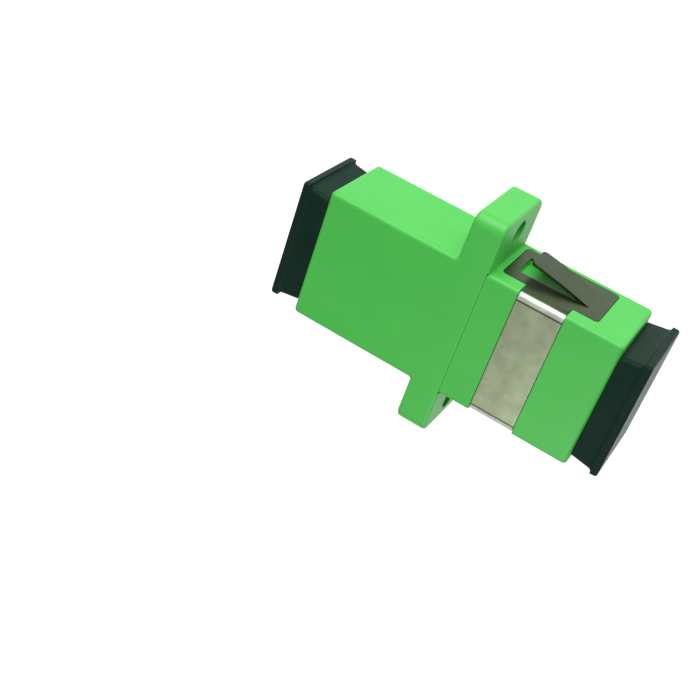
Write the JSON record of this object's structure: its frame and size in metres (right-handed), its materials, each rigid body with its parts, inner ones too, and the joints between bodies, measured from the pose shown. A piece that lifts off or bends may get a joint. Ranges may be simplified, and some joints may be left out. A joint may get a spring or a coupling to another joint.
{
  "type": "sc fibre adapter",
  "caption": "Flanged simplex fibre adapter with a keyed port at each end, a spring clip for panel mounting, an inner alignment sleeve and a pull-off dust cap in each port.",
  "frame": {"origin": "centre of the flange's panel-side face, midway between the two screw holes, on the optical axis", "axes": "+Y out of the clip-side port along the optical axis, +X along the flange through its screw holes, +Z out of the wide face with the clip's strap; the keyway slots open on -Z, on which the adapter lies"},
  "size_m": [0.022, 0.0338, 0.009],
  "materials": {
    "housing_green": "fine moulded satin",
    "clip_steel": "rolled stainless sheet, satin",
    "holder_green": "moulded satin",
    "sleeve_ceramic": "polished zirconia",
    "cap_black": "satin"
  },
  "bodies": {
    "adapter": {"flange_housing": "housing_green", "clip_housing": "housing_green", "retaining_clip": "clip_steel", "sleeve_holder_clip_side": "holder_green", "sleeve_holder_plain_side": "holder_green", "split_sleeve": "sleeve_ceramic"},
    "clip_end_cap": {"dust_cap_clip_end": "cap_black"},
    "plain_end_cap": {"dust_cap_plain_end": "cap_black"}
  },
  "joints": [
    {"name": "clip_end_cap_pull", "type": "slide", "parent": "adapter", "child": "clip_end_cap", "axis": [0, 1, 0], "range_m": [0, 0.02]},
    {"name": "plain_end_cap_pull", "type": "slide", "parent": "adapter", "child": "plain_end_cap", "axis": [0, -1, 0], "range_m": [0, 0.02]}
  ]
}
